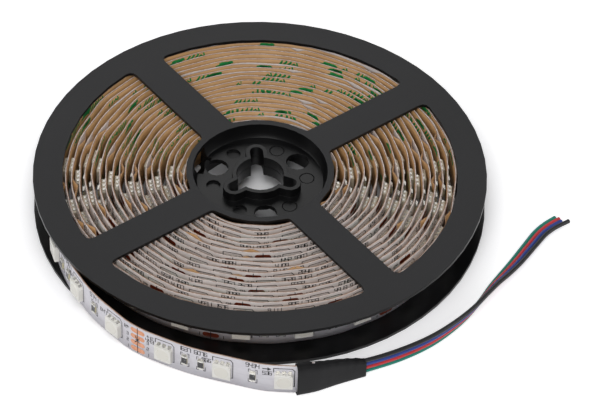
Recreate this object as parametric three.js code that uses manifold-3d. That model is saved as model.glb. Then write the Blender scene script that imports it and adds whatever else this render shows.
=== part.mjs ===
// A reel of LED strip light, lying on its lower flange: two moulded reel halves, a strip wound on
// edge with its LEDs facing outwards and its release liner inwards, and a free tail that ends in a
// heat-shrink sleeve with four lead wires.
// Millimetres, +Z up. The origin is the bottom centre of everything but the wires.

import * as THREE from 'three';
import * as BufferGeometryUtils from 'three/addons/utils/BufferGeometryUtils.js';
import Module from 'manifold-3d';

const wasm = await Module();
wasm.setup();

// Reel: flanges
const flangeRadius = 63.5;
const flangeThickness = 1.0;
const windowOuterRadius = 55.3;
const windowLip = 0.8;
const windowCornerRadius = 2.4;
const windowInnerCornerRadius = 1.2;
const spokeWidth = 10.2;
const spokeCount = 4;
const patternAngle = 37.5;

// Reel: hub
const barrelRadius = 20.0;
const recessRadius = 18.9;
const recessFloorRadius = 17.8;
const recessFilletHeight = 1.4;
const recessFilletWidth = 0.3;
const webPlane = 7.45;
const webThickness = 0.6;
const matingGap = 0.1;
const boreRadius = 6.6;
const collarWall = 1.3;
const collarHeight = 2.7;
const keywayHalfWidth = 1.8;
const keywayReach = 10.9;
const hubFold = 3;
const webHoleCircle = 13.2;
const webHoleRadius = 3.2;
const pegRadius = 2.0;
const pegWall = 0.4;
const pegClearance = 0.15;
const pegShortfall = 0.05;
const hollowPegReach = 1.0;
const pegEndWall = 0.6;
const pegSpread = 32;
const slotStartAngle = 148;
const slotEndAngle = 172;
const slotInset = 1.6;
const slotOvercut = 1.0;

// Strip and liner
const stripWidth = 10.0;
const edgeClearance = 0.1;
const stripThickness = 0.3;
const linerThickness = 0.12;
const adhesiveGap = 0.05;
const coilClearance = 0.8;
const turnPitch = 1.834;
const coilStartAngle = 144;
const coilEndAngle = 149.2;
const woundMargin = 5.5;
const segmentLength = 50;
const ledsPerSegment = 3;
const woundFacet = 9.5;
const facetsPerLed = 3;

// Parts on the strip
const ledSide = 5.0;
const ledHeight = 1.5;
const solderGap = 0.05;
const openTurnShare = 0.9;
const tailSegments = 2;
const resistorLength = 3.2;
const resistorWidth = 1.6;
const resistorHeight = 0.55;
const resistorPairOffset = 2.3;

// Tail: the strip's mid-line from the coil to its cut end, seen from above. Each point is an angle
// about the reel's axis and a distance beyond the flange's rim.
const tailLift = 0.4;
const tailDropStart = 1.0;
const tailDropEnd = 4.5;
const tailRoute = [
  [178.5, -4.5],
  [196.4, -3.4],
  [207.2, -1.9],
  [217.3, -0.1],
  [226.1, 1.6],
  [240.0, 4.3],
  [252.9, 5.8],
  [265.0, 7.7],
  [272.4, 9.6],
  [278.1, 10.6],
  [282.1, 10.0],
];

// Sleeve: its centre line seen from above, as steps in x and y from the strip's cut end
const sleeveWall = 0.3;
const sleeveFit = 0.1;
const sleeveInnerThickness = 2.5;
const sleeveEndHeight = 5.9;
const sleeveEndThickness = 2.3;
const sleeveStraightShare = 0.3;
const sleeveFlat = 0.01;
const sleeveSteps = 8;
const sleeveRoute = [
  [-4.8, -1.7],
  [0.2, -0.2],
  [6.8, 2.7],
  [13.5, 5.5],
];

// Wires: a flat bundle of four, on edge at the sleeve and laid down towards its ends
const wireDiameter = 1.25;
const wirePitch = 1.3;
const padPitch = 2.3;
const solderRadius = 0.85;
const solderBaseRadius = 0.64;
const solderHeight = 0.7;
const solderSetback = 2.0;
const wireStart = [0.5, -0.7];
// Each station is x and y from the strip's cut end, how far the bundle still stands on edge in
// degrees, and its height above the floor
const bundleRoute = [
  [13.9, 5.7, 90, 0.35],
  [23.1, 10.0, 88, 0.1],
  [31.4, 15.3, 84, 0.03],
  [38.1, 21.3, 77, 0.03],
  [43.1, 27.2, 69, 0.03],
  [47.1, 33.3, 60, 0.03],
  [49.9, 38.0, 49, 0.03],
  [52.6, 42.0, 39, 0.03],
  [55.8, 47.0, 31, 0.03],
  [60.2, 54.5, 25, 0.03],
  [63.5, 59.9, 20, 0.03],
  [66.2, 63.0, 16, 0.03],
  [69.0, 65.3, 12, 0.03],
];
const wires = [
  { name: 'wire_black', color: 0x242427, reach: 1.6 },
  { name: 'wire_blue', color: 0x35499a, reach: 0.0 },
  { name: 'wire_red', color: 0xcf3a40, reach: 0.4 },
  { name: 'wire_green', color: 0x1f8a78, reach: 0.0 },
];

// Fineness of round shapes
const rimSides = 64;
const hubSides = 36;
const boreSides = 24;
const holeSides = 14;
const pegSides = 10;
const cornerSides = 3;
const slotSides = 4;
const wireSides = 8;
const wireSteps = 27;
const arcStep = 8;

// Derived sizes
const ledPitch = segmentLength / ledsPerSegment;
const seat = flangeThickness + edgeClearance;
const reelHeight = stripWidth + 2 * seat;
const coilStartRadius = barrelRadius + coilClearance;
const coilRoom = flangeRadius - woundMargin - coilStartRadius;
const lastTurnShare = (coilEndAngle - coilStartAngle + 360) / 360;
const coilTurns = Math.floor(coilRoom / turnPitch - lastTurnShare) + lastTurnShare;
const windowInnerRadius = barrelRadius + windowLip;
const webFace = matingGap / 2 + webThickness;
const faceOffset = stripThickness / 2;

function radians(degrees) {
  return THREE.MathUtils.degToRad(degrees);
}

function polar(radius, degrees) {
  return new THREE.Vector2(radius * Math.cos(radians(degrees)), radius * Math.sin(radians(degrees)));
}

function arcPoints(radius, fromAngle, toAngle, count) {
  const points = [];
  for (let i = 0; i <= count; i += 1) {
    points.push(polar(radius, fromAngle + ((toAngle - fromAngle) * i) / count));
  }
  return points;
}

function circlePath(radius, sides) {
  return new THREE.Path(arcPoints(radius, 0, 360, sides).slice(0, sides));
}

// Solids and geometries
function toSolid(geometry) {
  geometry.deleteAttribute('normal');
  geometry.deleteAttribute('uv');
  const merged = BufferGeometryUtils.mergeVertices(geometry, 1e-4);
  return new wasm.Manifold(new wasm.Mesh({
    numProp: 3,
    vertProperties: Float32Array.from(merged.attributes.position.array),
    triVerts: Uint32Array.from(merged.index.array),
  }));
}

function toGeometry(solid) {
  const mesh = solid.getMesh();
  const geometry = new THREE.BufferGeometry();
  geometry.setAttribute('position', new THREE.BufferAttribute(mesh.vertProperties, 3));
  geometry.setIndex(new THREE.BufferAttribute(mesh.triVerts, 1));
  geometry.computeVertexNormals();
  return geometry;
}

function prism(shape, bottom, top) {
  const geometry = new THREE.ExtrudeGeometry(shape, { depth: top - bottom, bevelEnabled: false });
  geometry.translate(0, 0, bottom);
  return geometry;
}

function peg(radius, sides, bottom, top, place) {
  const geometry = new THREE.CylinderGeometry(radius, radius, top - bottom, sides);
  geometry.rotateX(Math.PI / 2);
  geometry.translate(place.x, place.y, (top + bottom) / 2);
  return toSolid(geometry);
}

// Materials
function blackStyrene() {
  return new THREE.MeshStandardMaterial({ color: 0x2b2b2d, roughness: 0.55, metalness: 0 });
}

function whiteSolderMask() {
  return new THREE.MeshStandardMaterial({ color: 0xd9d7da, roughness: 0.4, metalness: 0 });
}

function linerPaper() {
  return new THREE.MeshStandardMaterial({ color: 0xc79f74, roughness: 0.7, metalness: 0 });
}

function ledPlastic() {
  return new THREE.MeshStandardMaterial({ color: 0xe4e2d5, roughness: 0.35, metalness: 0 });
}

function resistorCeramic() {
  return new THREE.MeshStandardMaterial({ color: 0x26262a, roughness: 0.4, metalness: 0 });
}

function solderAlloy() {
  return new THREE.MeshStandardMaterial({ color: 0xb9bcc0, roughness: 0.3, metalness: 1 });
}

function sleevePolyolefin() {
  return new THREE.MeshStandardMaterial({ color: 0x29292b, roughness: 0.5, metalness: 0 });
}

function wireVinyl(color) {
  return new THREE.MeshStandardMaterial({ color, roughness: 0.4, metalness: 0 });
}

// Reel half, with its mating face at z = 0 and the outer face of its flange at reach. The lower half
// has every angle turned round with side = -1, and is turned over when it is placed.
function windowPath(startAngle, endAngle) {
  const outerShift = THREE.MathUtils.radToDeg(Math.asin(spokeWidth / 2 / windowOuterRadius));
  const innerShift = THREE.MathUtils.radToDeg(Math.asin(spokeWidth / 2 / windowInnerRadius));
  const outerTrim = THREE.MathUtils.radToDeg(windowCornerRadius / windowOuterRadius);
  const innerTrim = THREE.MathUtils.radToDeg(windowInnerCornerRadius / windowInnerRadius);
  const corners = [
    polar(windowOuterRadius, startAngle + outerShift),
    polar(windowOuterRadius, endAngle - outerShift),
    polar(windowInnerRadius, endAngle - innerShift),
    polar(windowInnerRadius, startAngle + innerShift),
  ];
  const outerFrom = startAngle + outerShift + outerTrim;
  const outerTo = endAngle - outerShift - outerTrim;
  const innerFrom = endAngle - innerShift - innerTrim;
  const innerTo = startAngle + innerShift + innerTrim;
  const outer = arcPoints(windowOuterRadius, outerFrom, outerTo, Math.ceil((outerTo - outerFrom) / arcStep));
  const inner = arcPoints(windowInnerRadius, innerFrom, innerTo, Math.ceil((innerFrom - innerTo) / arcStep / 2));
  const along = (from, to, distance) => from.clone().add(to.clone().sub(from).setLength(distance));
  const round = (from, corner, to) => new THREE.QuadraticBezierCurve(from, corner, to).getPoints(cornerSides);
  const points = [
    ...outer.slice(0, -1),
    ...round(outer.at(-1), corners[1], along(corners[1], corners[2], windowCornerRadius)),
    ...round(along(corners[2], corners[1], windowInnerCornerRadius), corners[2], inner[0]),
    ...inner.slice(1, -1),
    ...round(inner.at(-1), corners[3], along(corners[3], corners[0], windowInnerCornerRadius)),
    ...round(along(corners[0], corners[3], windowCornerRadius), corners[0], outer[0]).slice(0, -1),
  ];
  return new THREE.Path(points);
}

function flangePlate(side, reach) {
  const shape = new THREE.Shape(circlePath(flangeRadius, rimSides).getPoints());
  shape.holes.push(circlePath((barrelRadius + recessRadius) / 2, hubSides));
  const spokeStep = 360 / spokeCount;
  for (let i = 0; i < spokeCount; i += 1) {
    const from = side * patternAngle + i * spokeStep;
    shape.holes.push(windowPath(from, from + spokeStep));
  }
  return toSolid(prism(shape, reach - flangeThickness, reach));
}

function hubCup(reach) {
  const core = boreRadius + collarWall / 2;
  const profile = [
    [core, matingGap / 2],
    [barrelRadius, matingGap / 2],
    [barrelRadius, reach],
    [recessRadius, reach],
    [recessRadius - recessFilletWidth, webFace + recessFilletHeight],
    [recessFloorRadius, webFace],
    [core, webFace],
    [core, matingGap / 2],
  ].map(([radius, height]) => new THREE.Vector2(radius, height));
  const geometry = new THREE.LatheGeometry(profile, hubSides);
  geometry.rotateX(Math.PI / 2);
  return toSolid(geometry);
}

// The keyed bore, or the collar round it when grown by its wall
function keyedBore(side, grow, bottom, top) {
  let solid = peg(boreRadius + grow, boreSides, bottom, top, new THREE.Vector2());
  for (let i = 0; i < hubFold; i += 1) {
    const angle = side * (patternAngle + 180 / hubFold) + (i * 360) / hubFold;
    const half = keywayHalfWidth + grow;
    const centre = keywayReach - keywayHalfWidth;
    const shape = new THREE.Shape();
    shape.moveTo(0, -half);
    shape.lineTo(centre, -half);
    shape.absarc(centre, 0, half, -Math.PI / 2, Math.PI / 2);
    shape.lineTo(0, half);
    const geometry = new THREE.ExtrudeGeometry(shape, {
      depth: top - bottom,
      bevelEnabled: false,
      curveSegments: cornerSides,
    });
    geometry.rotateZ(radians(angle));
    geometry.translate(0, 0, bottom);
    solid = solid.add(toSolid(geometry));
  }
  return solid;
}

function stripSlot(side, reach) {
  const angles = side > 0 ? [slotStartAngle, slotEndAngle] : [-slotEndAngle, -slotStartAngle];
  const shape = new THREE.Shape([
    ...arcPoints(recessFloorRadius - slotInset, angles[0], angles[1], slotSides),
    ...arcPoints(barrelRadius + slotOvercut, angles[1], angles[0], slotSides),
  ]);
  return toSolid(prism(shape, -1, reach - flangeThickness));
}

function makeReelHalf(side) {
  const reach = side > 0 ? reelHeight - webPlane : webPlane;
  let solid = flangePlate(side, reach);
  solid = solid.add(hubCup(reach));
  solid = solid.add(keyedBore(side, collarWall, matingGap / 2, webFace + collarHeight));
  solid = solid.subtract(keyedBore(side, 0, -1, reelHeight));
  solid = solid.subtract(stripSlot(side, reach));
  for (let i = 0; i < hubFold; i += 1) {
    const angle = side * patternAngle + (i * 360) / hubFold;
    solid = solid.subtract(peg(webHoleRadius, holeSides, -1, webFace + 1, polar(webHoleCircle, angle)));
  }
  for (const { angle, owner } of webPegs()) {
    const place = polar(webHoleCircle, side * angle);
    const radius = owner > 0 ? pegRadius + pegWall : pegRadius;
    if (owner !== side) {
      solid = solid.subtract(peg(radius + pegClearance, pegSides, -1, webFace + 1, place));
    } else if (owner > 0) {
      solid = addHollowPeg(solid, radius, place);
    } else {
      solid = solid.add(peg(radius, pegSides, pegShortfall - webFace, webFace, place));
    }
  }
  return toGeometry(solid);
}

// The pegs on the slot's side belong to the upper half and are hollow; the others are solid ones of
// the lower half, flush with the upper web
function webPegs() {
  const pegs = [];
  for (let i = 0; i < hubFold; i += 1) {
    for (const turn of [-pegSpread, pegSpread]) {
      const angle = patternAngle + (i * 360) / hubFold + turn;
      pegs.push({ angle, owner: Math.cos(radians(angle)) < 0 ? 1 : -1 });
    }
  }
  return pegs;
}

// A hollow peg reaches beyond the other half's web, and is open towards its own half's side
function addHollowPeg(solid, radius, place) {
  const tip = -webFace - hollowPegReach;
  return solid
    .add(peg(radius, pegSides, tip, webFace, place))
    .subtract(peg(pegRadius, pegSides, tip + pegEndWall, webFace + 1, place));
}

// Strip path: a spiral whose length is exact in its radius, then the tail
const coilGrowth = turnPitch / (2 * Math.PI);
const coilEndRadius = coilStartRadius + turnPitch * coilTurns;
const woundLength = (coilEndRadius ** 2 - coilStartRadius ** 2) / (2 * coilGrowth);

function coilPoint(length) {
  const radius = Math.sqrt(coilStartRadius ** 2 + 2 * coilGrowth * length);
  const angle = radians(coilStartAngle) + (radius - coilStartRadius) / coilGrowth;
  return new THREE.Vector3(radius * Math.cos(angle), radius * Math.sin(angle), seat);
}

const tailCurve = new THREE.CatmullRomCurve3([
  coilPoint(woundLength),
  coilPoint(woundLength + ledSide),
  ...tailRoute.map(([angle, beyond]) => {
    const place = polar(flangeRadius + beyond, angle);
    return new THREE.Vector3(place.x, place.y, 0);
  }),
], false, 'centripetal');
tailCurve.arcLengthDivisions = 1200;
const tailLength = tailCurve.getLength();
const stripLength = woundLength + tailLength;

function stripPoint(length) {
  if (length <= woundLength) {
    return coilPoint(length);
  }
  const point = tailCurve.getPointAt(Math.min(1, (length - woundLength) / tailLength));
  const beyond = Math.hypot(point.x, point.y) - flangeRadius;
  const drop = THREE.MathUtils.smoothstep(beyond, tailDropStart, tailDropEnd);
  point.z = seat + (tailLift - seat) * drop;
  return point;
}

// Stations along the strip: long facets on the inner turns, and three to each LED on the tail and
// on the share of the last turn that has LEDs, so that every LED lies flat on the middle one
const openTurnLength = openTurnShare * 2 * Math.PI * coilEndRadius;
const ledCount = Math.floor((tailLength + openTurnLength) / ledPitch);
const fineStep = ledPitch / facetsPerLed;
const fineCount = ledCount * facetsPerLed;
const fineStart = stripLength - fineCount * fineStep;
const coarseCount = Math.round(fineStart / woundFacet);
const stationCount = coarseCount + fineCount;

function stationLength(station) {
  if (station < coarseCount) {
    return (fineStart * station) / coarseCount;
  }
  return fineStart + (station - coarseCount) * fineStep;
}

class StripPath extends THREE.Curve {
  constructor(lastStation) {
    super();
    this.lastStation = lastStation;
  }

  getUtoTmapping(u) {
    return u;
  }

  getPoint(t, target = new THREE.Vector3()) {
    return target.copy(stripPoint(stationLength(t * this.lastStation)));
  }

  // Frames that keep the band upright all along, also where it drops
  computeFrenetFrames(segments) {
    const frames = { tangents: [], normals: [], binormals: [] };
    for (let i = 0; i <= segments; i += 1) {
      const tangent = this.getTangent(i / segments).setZ(0).normalize();
      frames.tangents.push(tangent);
      frames.normals.push(new THREE.Vector3(0, 0, -1));
      frames.binormals.push(new THREE.Vector3(-tangent.y, tangent.x, 0));
    }
    return frames;
  }
}

// A band on edge along the strip's path, between two distances inwards from its mid-line
function band(lastStation, from, to) {
  const shape = new THREE.Shape([
    new THREE.Vector2(0, from),
    new THREE.Vector2(0, to),
    new THREE.Vector2(-stripWidth, to),
    new THREE.Vector2(-stripWidth, from),
  ]);
  return new THREE.ExtrudeGeometry(shape, {
    steps: lastStation,
    extrudePath: new StripPath(lastStation),
    bevelEnabled: false,
  });
}

// Place and turn of a part on the strip's outer face, at a distance back from the cut end
function onStrip(mesh, backFromEnd, height) {
  const station = stationCount - backFromEnd / fineStep;
  const before = stripPoint(stationLength(Math.floor(station)));
  const after = stripPoint(stationLength(Math.floor(station) + 1));
  const heading = after.clone().sub(before);
  const turn = Math.atan2(heading.y, heading.x);
  const outwards = new THREE.Vector3(Math.sin(turn), -Math.cos(turn), 0);
  mesh.position.lerpVectors(before, after, station - Math.floor(station));
  mesh.position.addScaledVector(outwards, faceOffset + solderGap + height / 2);
  mesh.position.z += stripWidth / 2;
  mesh.rotation.z = turn;
}

function makeLed(number) {
  const mesh = new THREE.Mesh(new THREE.BoxGeometry(ledSide, ledHeight, ledSide), ledPlastic());
  mesh.name = `led_${String(number).padStart(2, '0')}`;
  onStrip(mesh, (number - 0.5) * ledPitch, ledHeight);
  return mesh;
}

function makeResistor(number, backFromEnd) {
  const geometry = new THREE.BoxGeometry(resistorWidth, resistorHeight, resistorLength);
  const mesh = new THREE.Mesh(geometry, resistorCeramic());
  mesh.name = `resistor_${number}`;
  onStrip(mesh, backFromEnd, resistorHeight);
  return mesh;
}

// One resistor after the end LED of a segment and a pair before the next one
function resistorPlaces() {
  const places = [];
  for (let i = 0; i < tailSegments; i += 1) {
    const segment = i * segmentLength;
    places.push(segment + ledPitch);
    places.push(segment + 2 * ledPitch - resistorPairOffset);
    places.push(segment + 2 * ledPitch + resistorPairOffset);
  }
  return places;
}

// Sleeve: a rounded flat tube, tapered and bent along its route
function roundedBox(width, height, radius, bottom) {
  const shape = new THREE.Path();
  const left = -width / 2;
  const right = width / 2;
  const top = bottom + height;
  shape.moveTo(left + radius, bottom);
  shape.lineTo(right - radius, bottom);
  shape.quadraticCurveTo(right, bottom, right, bottom + radius);
  shape.lineTo(right, top - radius);
  shape.quadraticCurveTo(right, top, right - radius, top);
  shape.lineTo(left + radius, top);
  shape.quadraticCurveTo(left, top, left, top - radius);
  shape.lineTo(left, bottom + radius);
  shape.quadraticCurveTo(left, bottom, left + radius, bottom);
  return shape;
}

const stripEnd = tailCurve.getPointAt(1);
const sleeveCurve = new THREE.CatmullRomCurve3(
  sleeveRoute.map(([x, y]) => new THREE.Vector3(stripEnd.x + x, stripEnd.y + y, 0)),
);
const sleeveLength = sleeveCurve.getLength();

function makeSleeve() {
  const innerHeight = stripWidth + 2 * sleeveFit;
  const outerHeight = innerHeight + 2 * sleeveWall;
  const outerThickness = sleeveInnerThickness + 2 * sleeveWall;
  const outer = roundedBox(outerThickness, outerHeight, outerThickness / 2 - sleeveFlat, 0);
  const inner = roundedBox(sleeveInnerThickness, innerHeight, sleeveInnerThickness / 2 - sleeveFlat, sleeveWall);
  const shape = new THREE.Shape(outer.getPoints(cornerSides));
  shape.holes.push(new THREE.Path(inner.getPoints(cornerSides)));
  const geometry = new THREE.ExtrudeGeometry(shape, { depth: sleeveLength, steps: sleeveSteps, bevelEnabled: false });
  const position = geometry.attributes.position;
  for (let i = 0; i < position.count; i += 1) {
    const along = THREE.MathUtils.clamp(position.getZ(i) / sleeveLength, 0, 1);
    const taper = THREE.MathUtils.clamp((along - sleeveStraightShare) / (1 - sleeveStraightShare), 0, 1);
    const thick = THREE.MathUtils.lerp(1, sleeveEndThickness / outerThickness, taper);
    const high = THREE.MathUtils.lerp(1, sleeveEndHeight / outerHeight, taper);
    const point = sleeveCurve.getPointAt(along);
    const heading = sleeveCurve.getTangentAt(along);
    const offset = position.getX(i) * thick;
    position.setXYZ(i, point.x - heading.y * offset, point.y + heading.x * offset, position.getY(i) * high);
  }
  const mesh = new THREE.Mesh(geometry, sleevePolyolefin());
  mesh.name = 'heat_shrink_sleeve';
  return mesh;
}

// Wires: lane 1.5 is the top of the bundle at the sleeve and lane -1.5 its bottom
function bundlePoint(station, lane, next) {
  const [x, y, tilt, lift] = station;
  const heading = Math.atan2(next[1] - y, next[0] - x);
  const across = lane * wirePitch * Math.cos(radians(tilt));
  const rise = (lane + (wires.length - 1) / 2) * wirePitch * Math.sin(radians(tilt));
  return new THREE.Vector3(
    stripEnd.x + x + across * Math.sin(heading),
    stripEnd.y + y - across * Math.cos(heading),
    lift + wireDiameter / 2 + rise,
  );
}

function wireCurve(index) {
  const lane = (wires.length - 1) / 2 - index;
  const [startX, startY] = wireStart;
  const padHeight = tailLift + stripWidth / 2 + lane * padPitch;
  const points = [new THREE.Vector3(stripEnd.x + startX, stripEnd.y + startY, padHeight)];
  bundleRoute.forEach((station, i) => {
    const last = i === bundleRoute.length - 1;
    const before = bundleRoute[i - 1];
    const next = last ? [2 * station[0] - before[0], 2 * station[1] - before[1]] : bundleRoute[i + 1];
    points.push(bundlePoint(station, lane, next));
  });
  const end = points.at(-1).clone().sub(points.at(-2)).setLength(wires[index].reach);
  points.at(-1).add(end);
  return new THREE.CatmullRomCurve3(points, false, 'centripetal');
}

function makeWire(index) {
  const section = new THREE.Shape(circlePath(wireDiameter / 2, wireSides).getPoints());
  const curve = wireCurve(index);
  curve.arcLengthDivisions = 400;
  const geometry = new THREE.ExtrudeGeometry(section, {
    steps: wireSteps,
    extrudePath: curve,
    bevelEnabled: false,
  });
  const mesh = new THREE.Mesh(geometry, wireVinyl(wires[index].color));
  mesh.name = wires[index].name;
  return mesh;
}

function makeSolderJoint(index) {
  const lane = (wires.length - 1) / 2 - index;
  const geometry = new THREE.CylinderGeometry(solderRadius, solderBaseRadius, solderHeight, wireSides);
  const mesh = new THREE.Mesh(geometry, solderAlloy());
  mesh.name = `solder_joint_${index + 1}`;
  onStrip(mesh, solderSetback, solderHeight);
  mesh.position.z += lane * padPitch;
  return mesh;
}

// Assembly
function named(name, geometry, material) {
  const mesh = new THREE.Mesh(geometry, material);
  mesh.name = name;
  return mesh;
}

const upperHalf = named('upper_reel_half', makeReelHalf(1), blackStyrene());
upperHalf.position.z = webPlane;
const lowerHalf = named('lower_reel_half', makeReelHalf(-1), blackStyrene());
lowerHalf.rotation.x = Math.PI;
lowerHalf.position.z = webPlane;

const strip = named('led_strip', band(stationCount, -faceOffset, faceOffset), whiteSolderMask());
const linerFace = faceOffset + adhesiveGap;
const liner = named(
  'release_liner',
  band(stationCount - 1, linerFace, linerFace + linerThickness),
  linerPaper(),
);

const body = new THREE.Group();
body.add(upperHalf, lowerHalf, strip, liner);
for (let number = 1; number <= ledCount; number += 1) {
  body.add(makeLed(number));
}
resistorPlaces().forEach((place, i) => body.add(makeResistor(i + 1, place)));
body.add(makeSleeve());
wires.forEach((wire, i) => body.add(makeSolderJoint(i)));

const box = new THREE.Box3().setFromObject(body, true);
const centre = box.getCenter(new THREE.Vector3());

const reel = new THREE.Group();
reel.add(body);
wires.forEach((wire, i) => reel.add(makeWire(i)));
reel.position.set(-centre.x, -centre.y, 0);

export default reel;
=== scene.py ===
import bisect
import math
import random

import bmesh
import bpy
from mathutils import Matrix, Vector, noise


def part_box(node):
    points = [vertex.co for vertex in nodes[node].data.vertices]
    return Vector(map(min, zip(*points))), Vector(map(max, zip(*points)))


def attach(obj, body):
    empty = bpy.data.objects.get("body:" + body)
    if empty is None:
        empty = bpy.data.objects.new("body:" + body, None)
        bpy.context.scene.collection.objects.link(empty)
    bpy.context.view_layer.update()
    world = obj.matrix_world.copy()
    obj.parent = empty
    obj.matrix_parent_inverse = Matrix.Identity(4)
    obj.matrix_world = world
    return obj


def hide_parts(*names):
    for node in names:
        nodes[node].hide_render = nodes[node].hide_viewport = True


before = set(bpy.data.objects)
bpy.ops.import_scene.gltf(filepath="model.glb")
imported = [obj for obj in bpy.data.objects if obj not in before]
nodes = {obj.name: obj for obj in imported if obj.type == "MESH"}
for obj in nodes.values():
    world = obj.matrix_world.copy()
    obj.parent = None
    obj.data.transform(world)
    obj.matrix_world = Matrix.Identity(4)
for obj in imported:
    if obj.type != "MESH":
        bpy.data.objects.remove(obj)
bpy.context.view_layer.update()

mm = 0.001
axisPlace = (0.0, 5.795334)  # the reel's axis in the frame, mm


def toLinear(hexColour):
    parts = [int(hexColour[i:i + 2], 16) / 255 for i in (1, 3, 5)]
    return tuple(c / 12.92 if c <= 0.04045 else ((c + 0.055) / 1.055) ** 2.4 for c in parts) + (1.0,)


# kind without its ShaderNode prefix; a node given as a link stands for its first output
def addNode(tree, kind, settings=None, links=None, stops=()):
    node = tree.nodes.new("ShaderNode" + kind)
    for name, value in (settings or {}).items():
        if isinstance(name, str) and hasattr(node, name):
            setattr(node, name, value)
        else:
            node.inputs[name].default_value = value
    for name, source in (links or {}).items():
        outlet = source.outputs[0] if isinstance(source, bpy.types.Node) else source
        tree.links.new(outlet, node.inputs[name])
    for index, (place, colour) in enumerate(stops):  # a colour ramp starts with two elements
        elements = node.color_ramp.elements
        element = elements[index] if index < 2 else elements.new(place)
        element.position = place
        element.color = toLinear(colour)
    return node


# a new material, its tree, and the place on the object that its patterns read
def newMaterial(name):
    material = bpy.data.materials.new(name)
    material.use_nodes = True
    material.node_tree.nodes.clear()
    return material, material.node_tree, addNode(material.node_tree, "TexCoord").outputs["Object"]


def closeMaterial(material, settings, links, kind="BsdfPrincipled"):
    tree = material.node_tree
    addNode(tree, "OutputMaterial", None, {"Surface": addNode(tree, kind, settings, links)})
    return material


# colour that drifts with a soft cloud; gloss and relief follow the cloud too, or a finer grain where given
def mottledFinish(name, scale, stops, settings, detail=2.0, grit=0.5, gloss=None, relief=None, grain=None):
    material, tree, place = newMaterial(name)
    coarse = {"Scale": scale, "Detail": detail, "Roughness": grit}
    cloud = addNode(tree, "TexNoise", coarse, {"Vector": place})
    fine = addNode(tree, "TexNoise", grain, {"Vector": place}) if grain else cloud
    links = {"Base Color": addNode(tree, "ValToRGB", None, {"Fac": cloud}, stops)}
    if gloss:
        span = {"To Min": gloss[0], "To Max": gloss[1]}
        links["Roughness"] = addNode(tree, "MapRange", span, {"Value": fine})
    if relief:
        depth = {"Strength": relief[0], "Distance": relief[1] * mm}
        links["Normal"] = addNode(tree, "Bump", depth, {"Height": fine})
    return closeMaterial(material, settings, links)


def toMesh(name, bm):
    mesh = bpy.data.meshes.new(name)
    bm.to_mesh(mesh)
    bm.free()
    return mesh


def putInScene(name, data):
    made = bpy.data.objects.new(name, data)
    bpy.context.scene.collection.objects.link(made)
    return made


def finishPiece(name, bm, materials, smooth=True, stands=()):
    for face in bm.faces:
        face.smooth = smooth
    piece = putInScene(name, toMesh(name, bm))
    for material in materials:
        piece.data.materials.append(material)
    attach(piece, "root")
    if stands:
        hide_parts(*stands)
    return piece


def addModifier(piece, kind, **settings):
    modifier = piece.modifiers.new(kind.title().replace("_", ""), kind)
    for name, value in settings.items():
        setattr(modifier, name, value)


# centripetal Catmull-Rom line through points of any dimension
def splinePoint(points, share):
    last = len(points) - 1
    index = min(int(share * last), last - 1)
    w = share * last - index
    p1, p2 = points[index], points[index + 1]
    p0 = points[index - 1] if index > 0 else 2 * p1 - p2
    p3 = points[index + 2] if index + 2 <= last else 2 * p2 - p1
    d0, d1, d2 = (max((b - a).length, 1e-6) ** 0.5 for a, b in ((p0, p1), (p1, p2), (p2, p3)))
    t1 = ((p1 - p0) / d0 - (p2 - p0) / (d0 + d1) + (p2 - p1) / d1) * d1
    t2 = ((p2 - p1) / d1 - (p3 - p1) / (d1 + d2) + (p3 - p2) / d2) * d1
    return p1 + t1 * w + (3 * (p2 - p1) - 2 * t1 - t2) * w * w + (2 * (p1 - p2) + t1 + t2) * w ** 3


class MeasuredLine:
    def __init__(self, points, steps=1500):
        knots = [Vector(p) for p in points]
        self.samples = [splinePoint(knots, i / steps) for i in range(steps + 1)]
        self.marks = [0.0]
        for a, b in zip(self.samples, self.samples[1:]):
            self.marks.append(self.marks[-1] + (b - a).length)
        self.length = self.marks[-1]

    def at(self, distance):
        distance = min(max(distance, 0.0), self.length)
        high = min(bisect.bisect_right(self.marks, distance), len(self.marks) - 1)
        start, end = self.marks[high - 1], self.marks[high]
        return self.samples[high - 1].lerp(self.samples[high], (distance - start) / (end - start))


cameraView = {
    "place": (0.0, -664.8, 643.3),  # mm
    "pitch": 43.909,
    "yaw": 0.978,
    "roll": 1.764,
    "lens": 197.49,
    "sensor": 36,
    "clip": (0.05, 20),  # m
}


def makeCamera(view):
    data = bpy.data.cameras.new("photoCamera")
    data.lens = view["lens"]
    data.sensor_width = view["sensor"]
    data.clip_start, data.clip_end = view["clip"]
    camera = putInScene("photoCamera", data)
    pitch, yaw, roll = (math.radians(view[k]) for k in ("pitch", "yaw", "roll"))
    forward = Vector((math.sin(yaw) * math.cos(pitch), math.cos(yaw) * math.cos(pitch), -math.sin(pitch)))
    right = Vector((math.cos(yaw), -math.sin(yaw), 0))
    up = right.cross(forward)
    rolledRight = right * math.cos(roll) + up * math.sin(roll)
    rolledUp = up * math.cos(roll) - right * math.sin(roll)
    turn = Matrix((rolledRight, rolledUp, -forward)).transposed().to_4x4()
    camera.matrix_world = Matrix.Translation(Vector(view["place"]) * mm) @ turn
    bpy.context.scene.camera = camera


makeCamera(cameraView)
print("camera made")


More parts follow.
